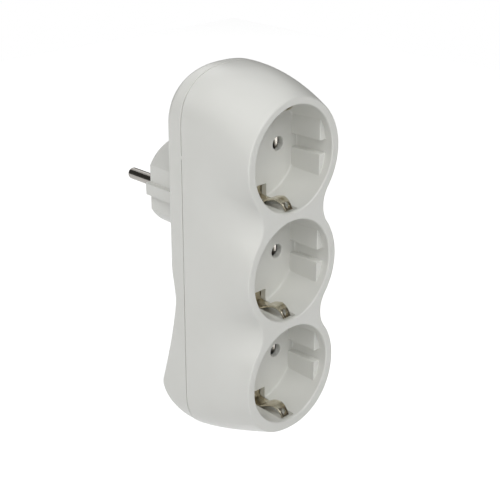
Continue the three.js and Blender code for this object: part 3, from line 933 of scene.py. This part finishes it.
def make_earth_bracket(z):
    """The strip behind a well's floor whose two ends come up through the slots as springs."""
    wall_run = floor_radius + spring_wall_gap
    arm = [
        (spring_base_depth + spring_thickness / 2, floor_radius - spring_seat_inset),
        (well_depth - spring_thickness, wall_run),
        (spring_bend_depth, wall_run),
        spring_knee,
        spring_touch,
        spring_heel,
        spring_tip,
    ]
    mirrored = [(depth, -radius) for depth, radius in reversed(arm)]
    outline = bent_strip(mirrored + arm, spring_thickness, spring_bend_radius)
    outline = [(depth, z + radius) for depth, radius in outline]
    strip = prism("earth_bracket", outline, -spring_width / 2, spring_width / 2, "X", sheet_edge_radius)
    hole_depth, hole_height = Vector(spring_heel).lerp(Vector(spring_tip), spring_hole_share)
    holes = [cylinder("spring_hole", spring_hole_radius, hole_depth - spring_width / 2,
                      hole_depth + 2 * spring_thickness, 0, z + end * hole_height, screw_steps)
             for end in ends.values()]
    taper_tips(strip.data)
    return cut(strip, *holes)


def taper_tips(mesh):
    """Narrows both ends of an earth bracket from the knee to the tip."""
    for vert in mesh.vertices:
        share = clamped((spring_knee[0] - (vert.co.y - front_y)) / (spring_knee[0] - spring_tip[0]))
        vert.co.x *= mixed(1, spring_tip_width / spring_width, share)


def make_plug_earth_strip(direction):
    foot = earth_rail_depth + strip_thickness + seat_gap + strip_thickness / 2
    corners = [
        (foot, direction * (plug_earth_radius - plug_earth_foot_reach)),
        (foot, direction * plug_earth_radius),
        (end_depth - plug_earth_end_setback, direction * plug_earth_radius),
    ]
    outline = bent_strip(corners, strip_thickness, spring_bend_radius)
    half = plug_earth_width / 2
    return prism("plug_earth_strip", outline, -half, half, "X", sheet_edge_radius)


def make_screw(x, z):
    """A thread-forming screw with a domed head and a cross recess."""
    seat = back_profile(z - middle_z) - screw_sink_depth + seat_gap
    point = seat - screw_length
    profile = [(0, point), (screw_point_radius, point)]
    depth = point + screw_point_length
    while depth + screw_pitch < seat - screw_plain_length:
        profile += [(screw_core_radius, depth), (screw_radius, depth + screw_pitch / 2)]
        depth += screw_pitch
    profile += [(screw_core_radius, depth), (screw_radius, depth), (screw_radius, seat)]
    profile.append((screw_head_radius, seat))
    for i in range(edge_rings):
        angle = i / edge_rings * pi / 2
        crown = (screw_head_height - screw_head_rim) * sin(angle)
        profile.append((screw_head_radius * cos(angle), seat + screw_head_rim + crown))
    top = seat + screw_head_height
    profile.append((0, top))
    half = cross_width / 2
    reach = cross_length / 2
    cross = joined(
        block("cross_recess", x - reach, x + reach, top - cross_depth, top + wall, z - half, z + half),
        block("cross_recess", x - half, x + half, top - cross_depth, top + wall, z - reach, z + reach))
    return cut(spun("housing_screw", profile, x, z, screw_steps), cross)


# Finishes

def new_group(name, inputs, outputs):
    """A shader node group with named sockets, and its two end nodes."""
    group = bpy.data.node_groups.new(name, "ShaderNodeTree")
    for label, kind in inputs.items():
        group.interface.new_socket(name=label, in_out="INPUT", socket_type=kind)
    for label, kind in outputs.items():
        group.interface.new_socket(name=label, in_out="OUTPUT", socket_type=kind)
    return group, group.nodes.new("NodeGroupInput"), group.nodes.new("NodeGroupOutput")


def noise(tree, place, scale, detail, roughness):
    node = add_node(tree, "ShaderNodeTexNoise", noise_dimensions="3D")
    tree.links.new(place, node.inputs["Vector"])
    for name, value in (("Scale", scale), ("Detail", detail), ("Roughness", roughness)):
        if isinstance(value, (int, float)):
            node.inputs[name].default_value = value
        else:
            tree.links.new(value, node.inputs[name])
    return node.outputs["Fac"]


def ranged(tree, value, low, high, to_low, to_high):
    node = add_node(tree, "ShaderNodeMapRange", clamp=True)
    tree.links.new(value, node.inputs["Value"])
    for name, number in (("From Min", low), ("From Max", high), ("To Min", to_low), ("To Max", to_high)):
        if isinstance(number, (int, float)):
            node.inputs[name].default_value = number
        else:
            tree.links.new(number, node.inputs[name])
    return node.outputs["Result"]


def blended(tree, mask, first, second):
    node = add_node(tree, "ShaderNodeMix", data_type="RGBA")
    tree.links.new(mask, node.inputs["Factor"])
    for socket, value in ((node.inputs[6], first), (node.inputs[7], second)):
        if isinstance(value, tuple):
            socket.default_value = (*value, 1)
        else:
            tree.links.new(value, socket)
    return node.outputs[2]


def cloudy_group():
    """Soft patches, from 0 to 1, for slow changes of colour and gloss over a surface."""
    group, start, end = new_group("soft_patches", {
        "Place": "NodeSocketVector",
        "Scale": "NodeSocketFloat",
        "Stretch": "NodeSocketVector",
    }, {"Mask": "NodeSocketFloat"})
    stretched = add_node(group, "ShaderNodeVectorMath", operation="MULTIPLY")
    group.links.new(start.outputs["Place"], stretched.inputs[0])
    group.links.new(start.outputs["Stretch"], stretched.inputs[1])
    value = noise(group, stretched.outputs[0], start.outputs["Scale"], detail=3.0, roughness=0.55)
    mask = ranged(group, value, low=0.34, high=0.66, to_low=0.0, to_high=1.0)
    group.links.new(mask, end.inputs["Mask"])
    return group


def grain_group():
    """The fine grain of a moulding or of rolled metal, as a height and as a speckle mask."""
    group, start, end = new_group("fine_grain", {
        "Place": "NodeSocketVector",
        "Scale": "NodeSocketFloat",
        "Stretch": "NodeSocketVector",
        "Coarse Share": "NodeSocketFloat",
    }, {"Height": "NodeSocketFloat", "Speckle": "NodeSocketFloat"})
    stretched = add_node(group, "ShaderNodeVectorMath", operation="MULTIPLY")
    group.links.new(start.outputs["Place"], stretched.inputs[0])
    group.links.new(start.outputs["Stretch"], stretched.inputs[1])
    fine = noise(group, stretched.outputs[0], start.outputs["Scale"], detail=2.0, roughness=0.6)
    coarse_to_fine = 0.12
    coarse_scale = calculated(group, "MULTIPLY", start.outputs["Scale"], coarse_to_fine)
    coarse = noise(group, stretched.outputs[0], coarse_scale, detail=2.0, roughness=0.5)
    weighted = calculated(group, "MULTIPLY", coarse, start.outputs["Coarse Share"])
    group.links.new(calculated(group, "ADD", fine, weighted), end.inputs["Height"])
    speckle = ranged(group, fine, low=0.55, high=0.75, to_low=0.0, to_high=1.0)
    group.links.new(speckle, end.inputs["Speckle"])
    return group


def placed_group(tree, group, place, values):
    node = add_node(tree, "ShaderNodeGroup", node_tree=group)
    tree.links.new(place, node.inputs["Place"])
    for name, value in values.items():
        node.inputs[name].default_value = value
    return node


def surface_material(name, colours, gloss, metallic, patches, grain, grain_depth):
    """A finish whose colour and gloss drift in soft patches, with a fine grain that catches the light."""
    material = bpy.data.materials.new(name)
    material.use_nodes = True
    tree = material.node_tree
    shader = tree.nodes["Principled BSDF"]
    place = tree.nodes.new("ShaderNodeTexCoord").outputs["Object"]
    cloudy = placed_group(tree, soft_patches, place, patches)
    grained = placed_group(tree, fine_grain, place, grain)
    toned = blended(tree, cloudy.outputs["Mask"], colours["main"], colours["drift"])
    faint = calculated(tree, "MULTIPLY", grained.outputs["Speckle"], colours["speckle_share"])
    tree.links.new(blended(tree, faint, toned, colours["speckle"]), shader.inputs["Base Color"])
    level = calculated(tree, "ADD", cloudy.outputs["Mask"], grained.outputs["Speckle"])
    roughness = ranged(tree, level, low=0.0, high=2.0, to_low=gloss[0], to_high=gloss[1])
    tree.links.new(roughness, shader.inputs["Roughness"])
    shader.inputs["Metallic"].default_value = metallic
    bump = tree.nodes.new("ShaderNodeBump")
    bump.inputs["Strength"].default_value = 1.0
    bump.inputs["Distance"].default_value = grain_depth * MM
    tree.links.new(grained.outputs["Height"], bump.inputs["Height"])
    tree.links.new(bump.outputs["Normal"], shader.inputs["Normal"])
    return material


def moulded_plastic():
    return surface_material(
        "moulded_plastic",
        colours={
            "main": (0.735, 0.738, 0.704),
            "drift": (0.720, 0.722, 0.686),
            "speckle": (0.67, 0.67, 0.63),
            "speckle_share": 0.10,
        },
        gloss=(0.28, 0.36),
        metallic=0.0,
        patches={"Scale": 45.0, "Stretch": (1.0, 1.0, 1.0)},
        grain={"Scale": 5200.0, "Stretch": (1.0, 1.0, 1.0), "Coarse Share": 1.0},
        grain_depth=0.0011,
    )


def nickel_plate():
    return surface_material(
        "nickel_plate",
        colours={
            "main": (0.35, 0.334, 0.315),
            "drift": (0.30, 0.283, 0.262),
            "speckle": (0.20, 0.18, 0.16),
            "speckle_share": 0.35,
        },
        gloss=(0.13, 0.30),
        metallic=1.0,
        patches={"Scale": 260.0, "Stretch": (1.0, 0.25, 1.0)},
        grain={"Scale": 3800.0, "Stretch": (1.0, 0.04, 1.0), "Coarse Share": 0.6},
        grain_depth=0.0015,
    )


def tinned_brass():
    return surface_material(
        "tinned_brass",
        colours={
            "main": (0.80, 0.76, 0.64),
            "drift": (0.52, 0.45, 0.32),
            "speckle": (0.20, 0.15, 0.09),
            "speckle_share": 0.35,
        },
        gloss=(0.18, 0.36),
        metallic=1.0,
        patches={"Scale": 420.0, "Stretch": (1.0, 0.6, 0.6)},
        grain={"Scale": 4200.0, "Stretch": (1.0, 0.10, 0.10), "Coarse Share": 0.8},
        grain_depth=0.003,
    )


def bare_brass():
    return surface_material(
        "bare_brass",
        colours={
            "main": (0.70, 0.60, 0.42),
            "drift": (0.58, 0.46, 0.28),
            "speckle": (0.30, 0.22, 0.12),
            "speckle_share": 0.3,
        },
        gloss=(0.2, 0.42),
        metallic=1.0,
        patches={"Scale": 300.0, "Stretch": (1.0, 1.0, 0.5)},
        grain={"Scale": 3600.0, "Stretch": (1.0, 1.0, 0.08), "Coarse Share": 0.7},
        grain_depth=0.003,
    )


def plated_brass():
    return surface_material(
        "plated_brass",
        colours={
            "main": (0.76, 0.73, 0.67),
            "drift": (0.66, 0.62, 0.54),
            "speckle": (0.40, 0.35, 0.27),
            "speckle_share": 0.25,
        },
        gloss=(0.26, 0.42),
        metallic=1.0,
        patches={"Scale": 340.0, "Stretch": (1.0, 0.5, 1.0)},
        grain={"Scale": 3600.0, "Stretch": (1.0, 0.08, 1.0), "Coarse Share": 0.7},
        grain_depth=0.002,
    )


def screw_steel():
    return surface_material(
        "screw_steel",
        colours={
            "main": (0.52, 0.53, 0.54),
            "drift": (0.40, 0.40, 0.38),
            "speckle": (0.22, 0.21, 0.20),
            "speckle_share": 0.3,
        },
        gloss=(0.24, 0.45),
        metallic=1.0,
        patches={"Scale": 500.0, "Stretch": (1.0, 1.0, 1.0)},
        grain={"Scale": 4500.0, "Stretch": (1.0, 1.0, 1.0), "Coarse Share": 0.8},
        grain_depth=0.003,
    )


# Assembly

def finish_piece(piece, name, material, node):
    piece.name = name
    mesh = piece.data
    mesh.name = name
    mesh.transform(Matrix.Scale(MM, 4))
    mesh.materials.clear()
    mesh.materials.append(material)
    mesh.shade_smooth()
    mesh.set_sharp_from_angle(angle=sharp_shading)
    weighted = piece.modifiers.new("even_shading", "WEIGHTED_NORMAL")
    weighted.keep_sharp = True
    weighted.weight = large_face_weight
    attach(piece, "root")
    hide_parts(node)


bpy.context.scene.view_settings.view_transform = "Standard"
add_camera()
set_world()
add_floor()
add_dark_wall()
for light_name, (azimuth, elevation, power) in soft_lights.items():
    add_soft_light(light_name, azimuth, elevation, power)

soft_patches = cloudy_group()
fine_grain = grain_group()
plastic = moulded_plastic()
nickel = nickel_plate()
earth_metal = tinned_brass()
brass = bare_brass()
clip_metal = plated_brass()
steel = screw_steel()

finish_piece(make_front_housing(), "front_moulding", plastic, "front_housing")
finish_piece(make_rear_cover(), "rear_moulding", plastic, "rear_cover")
for side_name, side in sides.items():
    finish_piece(make_plug_pin(side), f"pin_{side_name}", nickel, f"plug_pin_{side_name}")
    for socket_name, z in sockets.items():
        finish_piece(make_contact_clip(side, z), f"clip_{side_name}_{socket_name}", clip_metal,
                     f"contact_clip_{side_name}_{socket_name}")
for socket_name, z in sockets.items():
    finish_piece(make_earth_bracket(z), f"earth_spring_{socket_name}", earth_metal,
                 f"earth_bracket_{socket_name}")
for end_name, direction in ends.items():
    finish_piece(make_plug_earth_strip(direction), f"plug_earth_{end_name}", earth_metal,
                 f"plug_earth_strip_{end_name}")
for screw_name, (x, z) in screw_places().items():
    finish_piece(make_screw(x, z), f"screw_{screw_name}", steel, f"housing_screw_{screw_name}")

for rail in ("contact_rail_left", "contact_rail_right", "earth_rail"):
    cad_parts[rail].data.materials.clear()
    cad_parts[rail].data.materials.append(brass)
